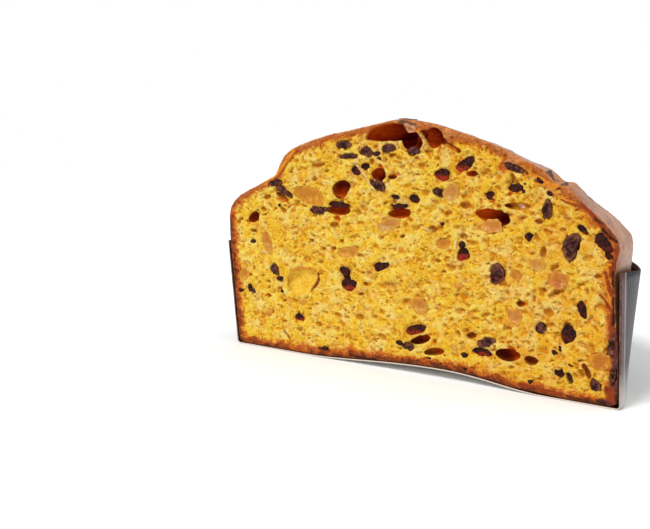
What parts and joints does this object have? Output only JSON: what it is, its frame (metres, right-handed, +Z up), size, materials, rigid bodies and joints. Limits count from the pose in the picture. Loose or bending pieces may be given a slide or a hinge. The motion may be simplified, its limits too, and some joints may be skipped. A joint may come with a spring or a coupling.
{
  "type": "colomba cake half",
  "caption": "Half of a tall, round, domed festive sweet loaf, cut upright to show yellow crumb with raisins and candied peel, in its dark paper baking case.",
  "frame": {"origin": "centre of the bounding box's underside, on the surface that the cake stands on", "axes": "+Z up; the cut face looks along -Y; +X runs along the cut to the right, seen from in front of the cut"},
  "size_m": [0.2258, 0.1248, 0.1273],
  "materials": {
    "cake": null,
    "paper": "ribbed dark brown paper with a slight gloss",
    "raisin": null,
    "peel": null
  },
  "bodies": {
    "root": {"loaf": "cake", "paper_case": "paper", "raisin_01": "raisin", "raisin_02": "raisin", "raisin_03": "raisin", "raisin_04": "raisin", "raisin_05": "raisin", "raisin_06": "raisin", "raisin_07": "raisin", "raisin_08": "raisin", "raisin_09": "raisin", "raisin_10": "raisin", "raisin_11": "raisin", "raisin_12": "raisin", "raisin_13": "raisin", "raisin_14": "raisin", "raisin_15": "raisin", "raisin_16": "raisin", "raisin_17": "raisin", "raisin_18": "raisin", "raisin_19": "raisin", "raisin_20": "raisin", "raisin_21": "raisin", "raisin_22": "raisin", "raisin_23": "raisin", "raisin_24": "raisin", "raisin_25": "raisin", "raisin_26": "raisin", "raisin_27": "raisin", "raisin_28": "raisin", "raisin_29": "raisin", "raisin_30": "raisin", "raisin_31": "raisin", "raisin_32": "raisin", "raisin_33": "raisin", "raisin_34": "raisin", "raisin_35": "raisin", "raisin_36": "raisin", "raisin_37": "raisin", "raisin_38": "raisin", "raisin_39": "raisin", "raisin_40": "raisin", "raisin_41": "raisin", "raisin_42": "raisin", "raisin_43": "raisin", "raisin_44": "raisin", "peel_01": "peel", "peel_02": "peel", "peel_03": "peel", "peel_04": "peel", "peel_05": "peel", "peel_06": "peel", "peel_07": "peel", "peel_08": "peel", "peel_09": "peel", "peel_10": "peel", "peel_11": "peel", "peel_12": "peel", "peel_13": "peel", "peel_14": "peel"}
  },
  "joints": []
}
